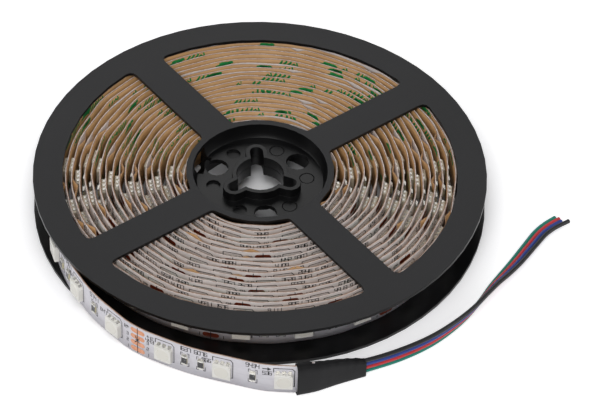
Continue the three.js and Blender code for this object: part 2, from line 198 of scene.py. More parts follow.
# the strip's path, shared by the circuit, the liner and all that is mounted on them
path = {
    "startRadius": 20.45,
    "startAngle": 144.0,
    "pitch": 1.8515,
    "turns": 20.0144,
    "rim": 63.5,
    "seat": 1.1,
    "tailLift": 0.4,
    "tail": [  # degrees about the axis, mm beyond the rim
        (178.5, -4.5), (196.4, -3.4), (207.2, -1.9), (217.3, -0.1), (226.1, 1.6), (240.0, 4.3),
        (252.9, 5.8), (265.0, 7.7), (272.4, 9.6), (278.1, 10.6), (282.1, 10.0),
    ],
    "drop": (1.0, 4.5),
    "ledPitch": 50 / 3,
    "ledFlat": 2.6,  # half of the stretch that a package holds flat
    "ledSteps": 8,  # stations from one flat stretch to the next
    "look": (2.0, 3.0),  # how far the headings look along the strip, at a package and at the cut end
    "leader": 6,  # bare strip before the first package
    "segment": 50,
    "wander": 0.62,  # how far the turns wander from a true spiral
    "wanderScale": 15.0,
    "waves": (((3.1, 7.7, 0.5), 1.0, 1.1), ((9.2, 1.3, 4.1), 2.3, 0.45)),  # place, scale and share of each
    "inwards": (0.2, 400),  # how far the first turn may wander in, and over what length that grows by one
    "calm": (560, 250),  # mm before the end of the wound strip, where the wander and the bulges fade
    "bulge": 0.26,
    "settle": 0.3,  # how far the innermost turns are drawn in to the barrel
    "settleIn": (10, 110),
    "settleOut": (100, 2500),
}
stripWidth = 10.0
stripThickness = 0.26

growth = path["pitch"] / (2 * math.pi)
endRadius = path["startRadius"] + path["pitch"] * path["turns"]
woundLength = (endRadius ** 2 - path["startRadius"] ** 2) / (2 * growth)


def polar(radius, degrees):
    return Vector((radius * math.cos(math.radians(degrees)), radius * math.sin(math.radians(degrees))))


def coilPoint(length):
    radius = math.sqrt(path["startRadius"] ** 2 + 2 * growth * length)
    return polar(radius, path["startAngle"] + math.degrees((radius - path["startRadius"]) / growth))


tailLine = MeasuredLine(
    [coilPoint(woundLength), coilPoint(woundLength + 5)]
    + [polar(path["rim"] + beyond, angle) for angle, beyond in path["tail"]]
)
stripLength = woundLength + tailLine.length


def smoothStep(value, low, high):
    t = min(max((value - low) / (high - low), 0.0), 1.0)
    return t * t * (3 - 2 * t)


def truePoint(length):
    if length <= woundLength:
        return coilPoint(max(length, 0.0))
    return tailLine.at(length - woundLength)


# the wander and the bulges fade out towards the outermost turns
def unrest(length):
    return 1 - smoothStep(length, *(woundLength - before for before in path["calm"]))


# the turns are pressed against their neighbours, so the wander is a field over the reel
def wanderingPoint(length):
    point = truePoint(length)
    spot = Vector((point.x, point.y, 0)) / path["wanderScale"]
    drift = sum(noise.noise(spot * scale + Vector(place)) * share for place, scale, share in path["waves"])
    drift = max(drift, -path["inwards"][0] - length / path["inwards"][1])
    settle = path["settle"] * (1 - smoothStep(length, *path["settleOut"]))
    settle *= smoothStep(length, *path["settleIn"])
    return point + point.normalized() * (drift * path["wander"] * unrest(length) - settle)


def floorHeight(point):
    share = smoothStep(point.length - path["rim"], *path["drop"])
    return path["seat"] + (path["tailLift"] - path["seat"]) * share


def unit(vector):
    return vector / max(vector.length, 1e-9)


# packages are counted back from the cut end, and each holds a short stretch flat
ledLook, endLook = path["look"]
ledPlaces = []
for number in range(int((stripLength - path["leader"]) / path["ledPitch"] + 0.5)):
    at = stripLength - (number + 0.5) * path["ledPitch"]
    heading = unit(wanderingPoint(at + ledLook) - wanderingPoint(at - ledLook))
    ledPlaces.append((at, wanderingPoint(at), heading))
ledPlaces.reverse()
endHeading = unit(truePoint(stripLength) - truePoint(stripLength - endLook))
holds = ledPlaces + [(stripLength, truePoint(stripLength), endHeading)]
pushes = random.Random(5)
bulges = [pushes.uniform(-1, 1) for _ in holds]


def stretchPoint(length):
    half = path["ledFlat"]
    index = int((length - holds[0][0]) / path["ledPitch"])
    index = min(max(index, 0), len(holds) - 2)
    first, second = holds[index], holds[index + 1]
    if length <= first[0] + half:
        return first[1] + first[2] * (length - first[0])
    if length >= second[0] - half:
        return second[1] + second[2] * (length - second[0])
    a, b = first[1] + first[2] * half, second[1] - second[2] * half
    span = second[0] - first[0] - 2 * half
    t = (length - first[0] - half) / span
    point = ((2 * t ** 3 - 3 * t ** 2 + 1) * a + (t ** 3 - 2 * t ** 2 + t) * span * first[2]
             + (3 * t ** 2 - 2 * t ** 3) * b + (t ** 3 - t ** 2) * span * second[2])
    side = Vector((first[2].y, -first[2].x))
    push = bulges[index] * path["bulge"] * unrest(length)
    return point + side * push * math.sin(math.pi * t) ** 2


# point on the strip's middle line, and the directions along and out of its printed face
def stripFrame(length, step=0.4):
    point = stretchPoint(length)
    ahead = unit(stretchPoint(length + step) - stretchPoint(length - step))
    return point, ahead, Vector((ahead.y, -ahead.x))


# from the reel's axis to the frame
def inFrame(spot, height):
    return Vector((spot.x + axisPlace[0], spot.y + axisPlace[1], height))


def inMetres(spot):
    return (spot.x + axisPlace[0]) * mm, (spot.y + axisPlace[1]) * mm, spot.z * mm


# a placement standing on edge: x along, y up, z out, turned about z
def standing(place, along, out, turn):
    matrix = Matrix((along.to_3d(), Vector((0, 0, 1)), out.to_3d())).transposed().to_4x4()
    return Matrix.Scale(mm, 4) @ Matrix.Translation(place) @ matrix @ Matrix.Rotation(turn, 4, "Z")


def placeOnStrip(length, height, proud, turn=0.0):
    point, ahead, outwards = stripFrame(length)
    spot = point + outwards * (stripThickness / 2 + proud)
    return standing(inFrame(spot, floorHeight(point) + height), ahead, outwards, turn)


stations = []
gap = path["ledPitch"] - 2 * path["ledFlat"]
for at, _, _ in ledPlaces:
    stations += [at - path["ledFlat"], at + path["ledFlat"]]
    stations += [at + path["ledFlat"] + gap * k / path["ledSteps"] for k in range(1, path["ledSteps"])]
stations = [s for s in stations if s < stripLength - 1e-6] + [stripLength]
print(f"strip path of {stripLength:.0f} mm with {len(ledPlaces)} packages")


wireSet = {
    "diameter": 1.25,
    "pitch": 1.3,
    "padPitch": 2.3,
    "start": (0.5, -0.7),
    "route": [  # x and y from the cut end, degrees still on edge, height
        (13.9, 6.3, 90, 0.35), (23.1, 10.7, 88, 0.1), (31.4, 16.0, 84, 0.03), (38.0, 22.0, 77, 0.03),
        (42.9, 27.8, 69, 0.03), (46.8, 33.8, 60, 0.03), (49.6, 38.4, 49, 0.03), (52.3, 42.3, 39, 0.03),
        (55.6, 47.2, 31, 0.03), (60.1, 54.6, 25, 0.03), (63.4, 59.9, 20, 0.03), (66.2, 63.0, 16, 0.03),
        (69.0, 65.3, 12, 0.03),
    ],
    "wires": [  # name, colour, how much longer than the shortest
        ("black", "#2A2A2C", 1.6), ("blue", "#35499A", 0.0),
        ("red", "#D23A40", 0.4), ("green", "#1F8A78", 0.0),
    ],
    "soldered": 15.5,  # length inside the sleeve
    "steps": 900,
    "points": 72,
    "roundness": 5,
    "strand": {"radii": (0.1, 0.09), "ring": 0.2, "bare": 0.12, "sides": 8},
}
cutEnd = tailLine.at(tailLine.length)


def wirePoints(index):
    lane = 1.5 - index  # the four lie side by side about the middle
    route = wireSet["route"]
    height = path["tailLift"] + stripWidth / 2 + lane * wireSet["padPitch"]
    points = [Vector((cutEnd.x + wireSet["start"][0], cutEnd.y + wireSet["start"][1], height))]
    for i, (x, y, tilt, lift) in enumerate(route):
        ahead = route[i + 1] if i + 1 < len(route) else (2 * x - route[i - 1][0], 2 * y - route[i - 1][1])
        heading = math.atan2(ahead[1] - y, ahead[0] - x)
        across = lane * wireSet["pitch"] * math.cos(math.radians(tilt))
        rise = (lane + 1.5) * wireSet["pitch"] * math.sin(math.radians(tilt))
        points.append(Vector((
            cutEnd.x + x + across * math.sin(heading),
            cutEnd.y + y - across * math.cos(heading),
            lift + wireSet["diameter"] / 2 + rise,
        )))
    points[-1] += unit(points[-1] - points[-2]) * wireSet["wires"][index][2]
    return points


# extruded PVC insulation: smooth, softly glossy, with a faint drawn streak along it
def wireVinyl(name, colour):
    material, tree, place = newMaterial(f"{name}PvcInsulation")
    cloud = addNode(tree, "TexNoise", {"Scale": 350.0, "Detail": 3.0, "Roughness": 0.6}, {"Vector": place})
    base = toLinear(colour)[:3]
    mix = addNode(tree, "Mix", {"data_type": "RGBA"}, {"Factor": cloud})
    mix.inputs[6].default_value = (*(c * 0.86 for c in base), 1)
    mix.inputs[7].default_value = (*(min(1, c * 1.12) for c in base), 1)
    bump = addNode(tree, "Bump", {"Strength": 0.25, "Distance": 0.05 * mm}, {"Height": cloud})
    return closeMaterial(material, {"Roughness": 0.38, "IOR": 1.53, "Specular IOR Level": 0.35},
                         {"Base Color": mix.outputs[2], "Normal": bump})


# fine copper strands, tinned, seen only at the cut ends
def tinnedStrand():
    return mottledFinish("tinnedCopperStrand", 4000.0, [(0.3, "#8C6A52"), (0.7, "#C9A48A")],
                         {"Roughness": 0.35, "Metallic": 1.0})


def makeWire(index, strandMaterial):
    name, colour, _ = wireSet["wires"][index]
    line = MeasuredLine(wirePoints(index), wireSet["steps"])
    count = wireSet["points"]
    places = [line.at(line.length * k / (count - 1)) for k in range(count)]
    curve = bpy.data.curves.new(f"{name}Lead", "CURVE")
    curve.dimensions = "3D"
    curve.bevel_depth = wireSet["diameter"] / 2 * mm
    curve.bevel_resolution = wireSet["roundness"]
    curve.use_fill_caps = True
    spline = curve.splines.new("POLY")
    spline.points.add(count - 1)
    for point, place in zip(spline.points, places):
        point.co = (*inMetres(place), 1)
    spline.use_smooth = True
    wire = putInScene(f"{name}Lead", curve)
    curve.materials.append(wireVinyl(name, colour))
    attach(wire, "root")
    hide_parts(f"wire_{name}")
    strand = wireSet["strand"]
    bm = bmesh.new()
    tip, along = places[-1], unit(places[-1] - places[-3])
    turn = Vector((0, 0, 1)).rotation_difference(along).to_matrix().to_4x4()
    end = Matrix.Scale(mm, 4) @ Matrix.Translation(inFrame(tip, tip.z)) @ turn
    for k in range(7):  # one strand in the middle and six round it
        offset = polar(strand["ring"] if k else 0.0, 60 * k).to_3d()
        bmesh.ops.create_cone(bm, cap_ends=True, segments=strand["sides"], radius1=strand["radii"][0],
                              radius2=strand["radii"][1], depth=strand["bare"],
                              matrix=end @ Matrix.Translation(offset))
    strands = finishPiece(f"{name}Strands", bm, [strandMaterial])
    inMetres(line.at(wireSet["soldered"]))
    print(f"{name} lead of {line.length:.1f} mm")


strandMaterial = tinnedStrand()
for wireIndex in range(4):
    makeWire(wireIndex, strandMaterial)


# reel halves: injection-moulded polystyrene
reelFinish = {
    "edge": 0.13,
    "edgeAngle": 33.0,
    "segments": 2,
    "middle": 6.1,  # height at which the halves meet
    "pegFloor": (6.4, 7.4),  # height of the hollow pegs' floors as moulded in the solids, and as shown
    "floorNear": 0.06,
    "faceNear": 0.05,
    "merge": 0.002,
    "flatAngle": 0.6,
}


# black PS, outer faces from a spark-eroded mould: even fine grain that scatters the light to charcoal
def texturedStyrene():
    return mottledFinish("blackStyreneTextured", 28.0, [(0.3, "#1B1B1D"), (0.7, "#202022")], {"IOR": 1.55},
                         detail=3.0, gloss=(0.54, 0.64), relief=(0.35, 0.04),
                         grain={"Scale": 2600.0, "Detail": 4.0, "Roughness": 0.65})


# the same PS where the mould is polished, with soft reflections; its deeper black is partly painted shade for
# the recesses and the gap between the flanges
def polishedStyrene():
    return mottledFinish("blackStyrenePolished", 60.0, [(0.35, "#0A0A0B"), (0.7, "#0E0E0F")],
                         {"IOR": 1.55, "Specular IOR Level": 0.3}, detail=4.0, gloss=(0.3, 0.42))


def makeReelHalf(node, name, materials):
    low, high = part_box(node)
    outer = high.z if (low.z + high.z) / 2 > reelFinish["middle"] * mm else low.z
    bm = bmesh.new()
    bm.from_mesh(nodes[node].data)
    bmesh.ops.remove_doubles(bm, verts=bm.verts, dist=reelFinish["merge"] * mm)
    flatAngle = math.radians(reelFinish["flatAngle"])
    bmesh.ops.dissolve_limit(bm, angle_limit=flatAngle, verts=bm.verts, edges=bm.edges)
    moulded, shown = (height * mm for height in reelFinish["pegFloor"])
    for vert in bm.verts:
        if abs(vert.co.z - moulded) < reelFinish["floorNear"] * mm:
            vert.co.z = shown
    # outer faces take the textured finish, all others the polished one, whose deeper black is partly painted
    # shade
    for face in bm.faces:
        height = face.calc_center_median().z
        onOuter = abs(face.normal.z) > 0.9 and abs(height - outer) < reelFinish["faceNear"] * mm
        face.material_index = 0 if onOuter else 1
    level = [abs(face.normal.z) > 0.99 for face in bm.faces]
    piece = finishPiece(name, bm, materials, True, [node])
    for face, isLevel in zip(piece.data.polygons, level):
        face.use_smooth = not isLevel
    addModifier(piece, "BEVEL", width=reelFinish["edge"] * mm, segments=reelFinish["segments"],
                limit_method="ANGLE", angle_limit=math.radians(reelFinish["edgeAngle"]))
    addModifier(piece, "WEIGHTED_NORMAL", mode="FACE_AREA", weight=50, keep_sharp=True)


styreneSet = [texturedStyrene(), polishedStyrene()]
makeReelHalf("upper_reel_half", "upperReelHalf", styreneSet)
makeReelHalf("lower_reel_half", "lowerReelHalf", styreneSet)
print("reel halves made")


# flexible circuit and its release liner
circuitSet = {
    "rows": 2,
    "fresh": (420, 380),  # mm before the end of the wound strip, where the painted shade on the wound turns gives way to the outer turn's own white
    "tracks": 4.35,
    "uvStep": 10,  # mm to one unit of the band's UV map
}
linerSet = {
    "thickness": 0.2,
    "buckles": 520,
    "halfLength": (2.0, 3.4),
    "lift": (0.95, 1.45),
    "span": (12, 30),  # bare of folds at the two ends
    "spacing": 10,
    "reach": 0.9,  # of a fold's peak and of a lens, from the strip's middle line
    "clear": 3.3,  # from the middle of a lens on the turn inside
    "topShare": 0.88,
    "shares": ((0.45, 0.2), (-0.55, 0.3)),  # fewer folds on the side away from the tail, and along the front
    "sharp": (0.9, 1.3),  # powers of a fold's outline along the liner and up it
    "foot": 0.12,
    "foldStops": (-1, -0.55, -0.2, 0, 0.2, 0.55, 1),
    "rows": 3,
    "bare": 0.55,  # how far the liner sits below the strip's edge here and there
    "bareScale": 24.0,
    "bareFrom": (0.12, 0.5),
    "ends": (0.5, 4),
}


rng = random.Random(11)


def planBuckles():
    found = []
    last = -99.0
    reach = linerSet["reach"]
    lenses = [centre + Vector((heading.y, -heading.x)) * reach for _, centre, heading in ledPlaces]
    (farFrom, farShare), (frontFrom, frontShare) = linerSet["shares"]
    start, end = linerSet["span"]
    for at in sorted(rng.uniform(start, woundLength - end) for _ in range(linerSet["buckles"])):
        half = rng.uniform(*linerSet["halfLength"])
        lift = rng.uniform(*linerSet["lift"])
        top = rng.random() < linerSet["topShare"]
        point, _, outwards = stripFrame(at)
        clear = min((point - outwards * reach - lens).length for lens in lenses)
        facing = point.y / point.length
        share = farShare if facing > farFrom else frontShare if facing < frontFrom else 1.0
        if rng.random() < share and at - last > linerSet["spacing"] and clear > linerSet["clear"]:
            found.append((at, half, lift, top))
            last = at
    return found


buckles = planBuckles()


# the liner lets go of the strip in small pointed folds, wider at one edge
def linerGap(length, rise):
    gap = 0.0
    along, upwards = linerSet["sharp"]
    foot = linerSet["foot"]
    for at, half, lift, top in buckles:
        away = abs(length - at) / half
        if away < 1:
            share = rise if top else 1 - rise
            gap = max(gap, lift * (1 - away) ** along * (foot + (1 - foot) * share ** upwards))
    return gap


# a new row of faces on a row of edges: its vertices, and its far edges
def growRow(bm, edges):
    grown = bmesh.ops.extrude_edge_only(bm, edges=edges)["geom"]
    fresh = {item for item in grown if isinstance(item, bmesh.types.BMVert)}
    far = [item for item in grown if isinstance(item, bmesh.types.BMEdge) and set(item.verts) <= fresh]
    return fresh, far


def makeBand(name, stops, rows, placeAt, thickness, materials, stands):
    bm = bmesh.new()
    along = bm.verts.layers.float.new("along")
    rise = bm.verts.layers.float.new("rise")
    line = []
    for stop in stops:
        vert = bm.verts.new((0, 0, 0))
        vert[along] = stop
        line.append(vert)
    edges = [bm.edges.new(pair) for pair in zip(line, line[1:])]
    for row in range(rows):
        fresh, edges = growRow(bm, edges)
        for vert in fresh:
            vert[rise] = (row + 1) / rows
    for vert in bm.verts:
        vert.co = placeAt(vert[along], vert[rise])
    bmesh.ops.recalc_face_normals(bm, faces=bm.faces)
    uvLayer = bm.loops.layers.uv.new("stripUv")
    for face in bm.faces:
        for loop in face.loops:
            loop[uvLayer].uv = (loop.vert[along] / circuitSet["uvStep"], loop.vert[rise])
    band = finishPiece(name, bm, materials, True, stands)
    addModifier(band, "SOLIDIFY", thickness=thickness * mm, offset=0.0, use_even_offset=True, use_rim=True,
                material_offset_rim=1)


def circuitPoint(length, rise):
    point, _, _ = stripFrame(length)
    return inFrame(point, floorHeight(point) + rise * stripWidth) * mm


# height of the liner, whose upper edge sits a little below the circuit's here and there
def linerWidth(length):
    drift = noise.noise(Vector((length / linerSet["bareScale"], 4.4, 2.0)))
    return stripWidth - linerSet["bare"] * smoothStep(drift, *linerSet["bareFrom"])


def linerPoint(length, rise):
    point, _, outwards = stripFrame(length)
    inwards = (stripThickness + linerSet["thickness"]) / 2 + linerGap(length, rise)
    return inFrame(point - outwards * inwards, floorHeight(point) + rise * linerWidth(length)) * mm


# polyimide circuit under white solder mask: satin, faintly cool, with the copper tracks just showing;
# the wound turns carry a painted shade, greyer and warmer than the outer one, for the shade they lie in
def solderMask():
    material, tree, place = newMaterial("whiteSolderMask")
    split = addNode(tree, "SeparateXYZ", None, {"Vector": addNode(tree, "UVMap", {"uv_map": "stripUv"})})
    cloud = addNode(tree, "TexNoise", {"Scale": 240.0, "Detail": 4.0}, {"Vector": place})
    fresh = addNode(tree, "ValToRGB", None, {"Fac": cloud}, [(0.3, "#D9D6DD"), (0.7, "#E4E2E8")])
    # painted shade: the darker, warmer white of the wound turns
    wound = addNode(tree, "ValToRGB", None, {"Fac": cloud}, [(0.3, "#B7AFAC"), (0.7, "#C6BEBB")])
    low, high = ((woundLength - before) / circuitSet["uvStep"] for before in circuitSet["fresh"])
    outer = addNode(tree, "MapRange", {"From Min": low, "From Max": high}, {"Value": split.outputs["X"]})
    base = addNode(tree, "Mix", {"data_type": "RGBA"}, {0: outer, 6: wound, 7: fresh})
    track = addNode(tree, "Math", {"operation": "MULTIPLY", 1: circuitSet["tracks"]}, {0: split.outputs["Y"]})
    fold = addNode(tree, "Math", {"operation": "FRACT"}, {0: track})
    stops = [(0.0, "#FFFFFF"), (0.06, "#F3F2F4"), (0.12, "#FFFFFF")]
    edge = addNode(tree, "ValToRGB", None, {"Fac": fold}, stops)
    tinted = addNode(tree, "Mix", {"data_type": "RGBA", "blend_type": "MULTIPLY", 0: 0.8},
                     {6: base.outputs[2], 7: edge})
    bump = addNode(tree, "Bump", {"Strength": 0.2, "Distance": 0.03 * mm}, {"Height": cloud})
    return closeMaterial(material, {"Roughness": 0.42, "IOR": 1.5},
                         {"Base Color": tinted.outputs[2], "Normal": bump})


# die-cut edge of the circuit: pale film with a trace of copper
def cutFilmEdge():
    return mottledFinish("dieCutFilmEdge", 900.0, [(0.35, "#CBB2A6"), (0.65, "#E6DAD4")], {"Roughness": 0.6})


# silicone-coated kraft paper: warm tan, smooth, with a long soft mottle and fine fibre
def kraftLiner(name, stops):
    return mottledFinish(name, 120.0, stops, {"Roughness": 0.5, "IOR": 1.45}, detail=5.0, grit=0.6,
                         relief=(0.3, 0.03), grain={"Scale": 3200.0})


makeBand("flexibleCircuit", stations, circuitSet["rows"], circuitPoint, stripThickness,
         [solderMask(), cutFilmEdge()], ["led_strip"])
linerStops = [s for s in stations if s < stripLength - linerSet["ends"][1]]
for at, half, _, _ in buckles:
    linerStops += [at + half * k for k in linerSet["foldStops"]]
linerStops = sorted(s for s in linerStops if s > linerSet["ends"][0])
linerStops = [a for a, b in zip(linerStops, linerStops[1:] + [1e9]) if b - a > 0.15]
makeBand("releaseLiner", linerStops, linerSet["rows"], linerPoint, linerSet["thickness"],
         [kraftLiner("kraftReleaseLiner", [(0.3, "#B78B5A"), (0.7, "#CDA270")]),
          kraftLiner("kraftCutEdge", [(0.3, "#8E6A52"), (0.7, "#A98468")])],
         ["release_liner"])
print(f"circuit and liner made, with {len(buckles)} buckles")


# LED packages, five millimetres square with three leads on two sides
ledSet = {
    "side": 5.0,
    "height": 1.42,
    "woundHeight": 1.2,
    "solids": 28,  # the last packages stand at full height, as their solids do
    "flush": 0.03,
    "corner": 0.6,
    "rim": 0.14,
    "lens": {"radii": (2.03, 1.89), "depth": 0.12, "proud": 0.02, "sides": 16},
    "leadPitch": 1.6,
    "upright": (0.85, 0.16, 0.6),  # width, thickness, share of the package's height
    "uprightMiddle": 0.32,
    "foot": (0.97, 0.62, 0.14),
    "footOut": 0.28,
}


# white reflector moulding (PPA), satin: warm ivory, with a darker copy whose colour is painted shade for the
# packages on the wound turns
def ledMoulding(name, stops):
    return mottledFinish(name, 300.0, stops, {"Roughness": 0.38, "IOR": 1.5}, detail=3.0)


# clear silicone over three small dice: a pale warm disc, glossier than its frame
def ledSilicone():
    material, tree, place = newMaterial("siliconeLensOverDice")
    cells = addNode(tree, "TexVoronoi", {"Scale": 900.0}, {"Vector": place})
    stops = [(0.05, "#DDD5C2"), (0.14, "#EFECE2"), (1.0, "#F0EDE4")]
    ramp = addNode(tree, "ValToRGB", None, {"Fac": cells}, stops)
    return closeMaterial(material, {"Roughness": 0.16, "IOR": 1.41}, {"Base Color": ramp})


# reflowed tin solder: bright, slightly uneven
def tinSolder():
    return mottledFinish("reflowedTinSolder", 1500.0, [(0.3, "#C6C4BE"), (0.7, "#E6E4DE")],
                         {"Metallic": 0.65}, gloss=(0.2, 0.36))


def template(build, *sizes):
    bm = bmesh.new()
    build(bm, *sizes)
    return toMesh("template", bm)


def stamp(bm, part, matrix):
    copy = part.copy()
    copy.transform(matrix)
    bm.from_mesh(copy)
    bpy.data.meshes.remove(copy)


def addBlock(bm, centre, size):
    matrix = Matrix.Translation(centre) @ Matrix.Diagonal((*size, 1))
    return bmesh.ops.create_cube(bm, size=1.0, matrix=matrix)["verts"]


def finishWith(bm, verts, index):
    made = set(verts)
    for face in bm.faces:
        if made.issuperset(face.verts):
            face.material_index = index


def chamfer(bm, edges, offset):
    bmesh.ops.bevel(bm, geom=edges, offset=offset, offset_type="OFFSET", segments=1, profile=0.5,
                    affect="EDGES", material=-1)


# x along the strip, y up its width, z out of its face
def buildPackage(bm, height, body):
    lens = ledSet["lens"]
    addBlock(bm, (0, 0, height / 2), (ledSet["side"], ledSet["side"], height))
    chamfer(bm, [e for e in bm.edges if all(v.co.x > 0 and v.co.y > 0 for v in e.verts)], ledSet["corner"])
    chamfer(bm, [e for e in bm.edges if all(v.co.z > height - 0.01 for v in e.verts)], ledSet["rim"])
    finishWith(bm, bm.verts, body)
    made = bmesh.ops.create_cone(bm, cap_ends=True, segments=lens["sides"], radius1=lens["radii"][0],
                                 radius2=lens["radii"][1], depth=lens["depth"],
                                 matrix=Matrix.Translation((0, 0, height + lens["proud"])))
    finishWith(bm, made["verts"], 1)


def buildLeads(bm, height):
    wide, thick, share = ledSet["upright"]
    for sideSign in (-1, 1):
        for step in (-1, 0, 1):
            x, y = step * ledSet["leadPitch"], sideSign * (ledSet["side"] / 2 + 0.05)
            addBlock(bm, (x, y, height * ledSet["uprightMiddle"]), (wide, thick, height * share))
            addBlock(bm, (x, y + sideSign * ledSet["footOut"], ledSet["foot"][2] / 2), ledSet["foot"])


def makePackages():
    bodies, leads = bmesh.new(), bmesh.new()
    # packages on the wound turns take material 2, the moulding darkened with painted shade
    kinds = [(template(buildPackage, tall, body), template(buildLeads, tall))
             for tall, body in ((ledSet["woundHeight"], 2), (ledSet["height"], 0))]
    for number, (at, _, _) in enumerate(ledPlaces):
        body, lead = kinds[number >= len(ledPlaces) - ledSet["solids"]]
        matrix = placeOnStrip(at, stripWidth / 2, ledSet["flush"])
        stamp(bodies, body, matrix)
        stamp(leads, lead, matrix)
    finishPiece("ledPackages", bodies, [
        ledMoulding("ivoryPpaMoulding", [(0.3, "#ECEAE2"), (0.7, "#F4F2EC")]), ledSilicone(),
        ledMoulding("woundShadedPpaMoulding", [(0.3, "#BDB5A2"), (0.7, "#CDC6B5")]),
    ], False, [f"led_{k + 1:02d}" for k in range(ledSet["solids"])])
    finishPiece("ledLeads", leads, [tinSolder()], False)


makePackages()
print("LED packages made")


# chip resistors, three to a segment
resistorSet = {
    "long": 3.2, "wide": 1.6, "height": 0.5, "cap": 0.55, "flush": 0.03,
    "offsets": (16.67, 31.03, 35.63),  # from the cut line
    "capOver": (0.04, 0.06),  # how much wider and higher than the chip
    "fillet": (0.5, 0.2),
    "solids": 6,
    "first": 4,  # none nearer than this to the strip's first end
}


# glazed black resistive film on an alumina chip: hard, semi-gloss, with pale laser-trimmed marks
def glazedChip():
    return mottledFinish("blackGlazedChip", 2500.0, [(0.45, "#1F1F22"), (0.62, "#2A2A2D"), (0.66, "#6E6E70")],
                         {"Roughness": 0.3, "IOR": 1.52}, detail=1.0)


# bare alumina at the chip's sides: chalky cream
def aluminaSide():
    return mottledFinish("aluminaCeramic", 1800.0, [(0.3, "#BDB591"), (0.7, "#D6D0B2")], {"Roughness": 0.6})


def buildChip(bm):
    long, wide, high, cap = (resistorSet[k] for k in ("long", "wide", "height", "cap"))
    (wider, higher), (reach, rise) = resistorSet["capOver"], resistorSet["fillet"]
    addBlock(bm, (0, 0, high / 2), (wide, long - 2 * cap, high))
    for face in bm.faces:
        face.material_index = 0 if face.normal.z > 0.5 else 1
    for sign in (-1, 1):
        finishWith(bm, addBlock(bm, (0, sign * (long - cap) / 2, high / 2 + 0.02),
                                (wide + wider, cap, high + higher)), 2)
        finishWith(bm, addBlock(bm, (0, sign * (long / 2 + 0.2), rise / 2), (wide, reach, rise)), 2)


def makeResistors():
    chips = bmesh.new()
    chip = template(buildChip)
    for segment in range(int(stripLength / path["segment"])):
        for offset in resistorSet["offsets"]:
            at = stripLength - segment * path["segment"] - offset
            if at > resistorSet["first"]:
                stamp(chips, chip, placeOnStrip(at, stripWidth / 2, resistorSet["flush"]))
    finishPiece("chipResistors", chips, [glazedChip(), aluminaSide(), tinSolder()], False,
                [f"resistor_{k + 1}" for k in range(resistorSet["solids"])])


makeResistors()
print("resistors made")


# copper pads and printed marks on the circuit
padSet = {"length": 4.6, "width": 1.62, "pitch": 2.3, "sides": 14, "strip": 0.85, "fresh": 2}


# bare copper pads: orange, slightly dulled
def bareCopper():
    return mottledFinish("bareCopperPad", 700.0, [(0.3, "#D2906A"), (0.7, "#E2A888")],
                         {"Metallic": 0.55, "Roughness": 0.45}, detail=3.0)


# pads of the wound turns: the same copper, in a dark red-brown
def tarnishedCopper():
    return mottledFinish("darkRedCopperPad", 500.0, [(0.3, "#6A2814"), (0.7, "#863C26")],
                         {"Metallic": 0.3, "Roughness": 0.4}, detail=3.0)


# printed marks: matt epoxy ink on the circuit, matt green on the liner
def printInk(name, stops):
    return mottledFinish(name, 1200.0, stops, {"Roughness": 0.65})


markSet = {
    "proud": 0.02,
    "cutProud": 0.04,
    "lines": {"bracket": 0.23, "arrow": 0.32, "chip": 0.18, "plus": 0.2, "cut": 0.22, "scissors": 0.2},
    "package": {"shift": -4.4, "height": 7.0, "digit": (1.25, 0.19)},  # digit: height and line
    "chip": {"height": 8.95, "digit": (1.35, 0.2), "first": 6},
    "pad": {"shift": 3.3, "lastShift": 4.3, "height": -0.25, "digit": (1.05, 0.17)},
    "arrowPlace": (-4.6, 8.6),
    "digitStep": 0.7,
    "bracket": [  # around a package, from its middle, mm
        ((-2.75, 9.0), (2.2, 9.0)), ((2.2, 9.0), (2.85, 8.2)), ((2.85, 8.2), (2.85, 2.3)),
        ((2.85, 2.3), (2.3, 2.3)), ((-2.75, 9.0), (-2.75, 7.6)),
    ],
    "chipCorners": [
        ((-1.2, 7.4), (-1.2, 6.4)), ((-1.2, 7.4), (-0.7, 7.4)), ((1.2, 7.4), (1.2, 6.0)),
        ((0.7, 7.4), (1.2, 7.4)), ((-1.2, 2.6), (-1.2, 3.6)), ((-1.2, 2.6), (-0.7, 2.6)),
        ((1.2, 2.6), (1.2, 4.0)), ((0.7, 2.6), (1.2, 2.6)),
    ],
    "arrow": [((-1.0, 0), (0.9, 0)), ((0.9, 0), (0.3, 0.4)), ((0.9, 0), (0.3, -0.4))],
    "plus": [((-0.4, 0), (0.4, 0)), ((0, -0.4), (0, 0.4))],
    "scissors": [
        ((-0.7, 6.1), (0.6, 4.3)), ((-0.7, 4.3), (0.6, 6.1)), ((-0.8, 6.5), (-0.3, 6.0)),
        ((-0.9, 4.0), (-0.4, 4.5)), ((-0.6, 5.2), (0.6, 5.2)),
    ],
    "cut": [((0, 0.3), (0, 9.75))],
    "digitBars": {  # seven-bar digits one unit high
        "a": ((0, 1), (0.55, 1)), "b": ((0.55, 1), (0.55, 0.5)), "c": ((0.55, 0.5), (0.55, 0)),
        "d": ((0, 0), (0.55, 0)), "e": ((0, 0.5), (0, 0)), "f": ((0, 1), (0, 0.5)),
        "g": ((0, 0.5), (0.55, 0.5)),
    },
    "digits": ["abcdef", "bc", "abged", "abgcd", "fgbc", "afgcd", "afgedc", "abc", "abcdefg", "abfgcd"],
}


def stroke(bm, at, low, high, width, proud=markSet["proud"], place=placeOnStrip):
    a, b = Vector(low), Vector(high)
    middle, reach = (a + b) / 2, (b - a)
    matrix = place(at + middle.x, middle.y, proud, math.atan2(reach.y, reach.x))
    matrix = matrix @ Matrix.Diagonal((reach.length + width, width, 1, 1))
    bmesh.ops.create_grid(bm, x_segments=1, y_segments=1, size=0.5, matrix=matrix)


def strokes(bm, at, lines, width, shift=0.0, rise=0.0, proud=markSet["proud"]):
    for low, high in lines:
        stroke(bm, at, (low[0] + shift, low[1] + rise), (high[0] + shift, high[1] + rise), width, proud)


def printMark(bm, at, name, **settings):
    strokes(bm, at, markSet[name], markSet["lines"][name], **settings)


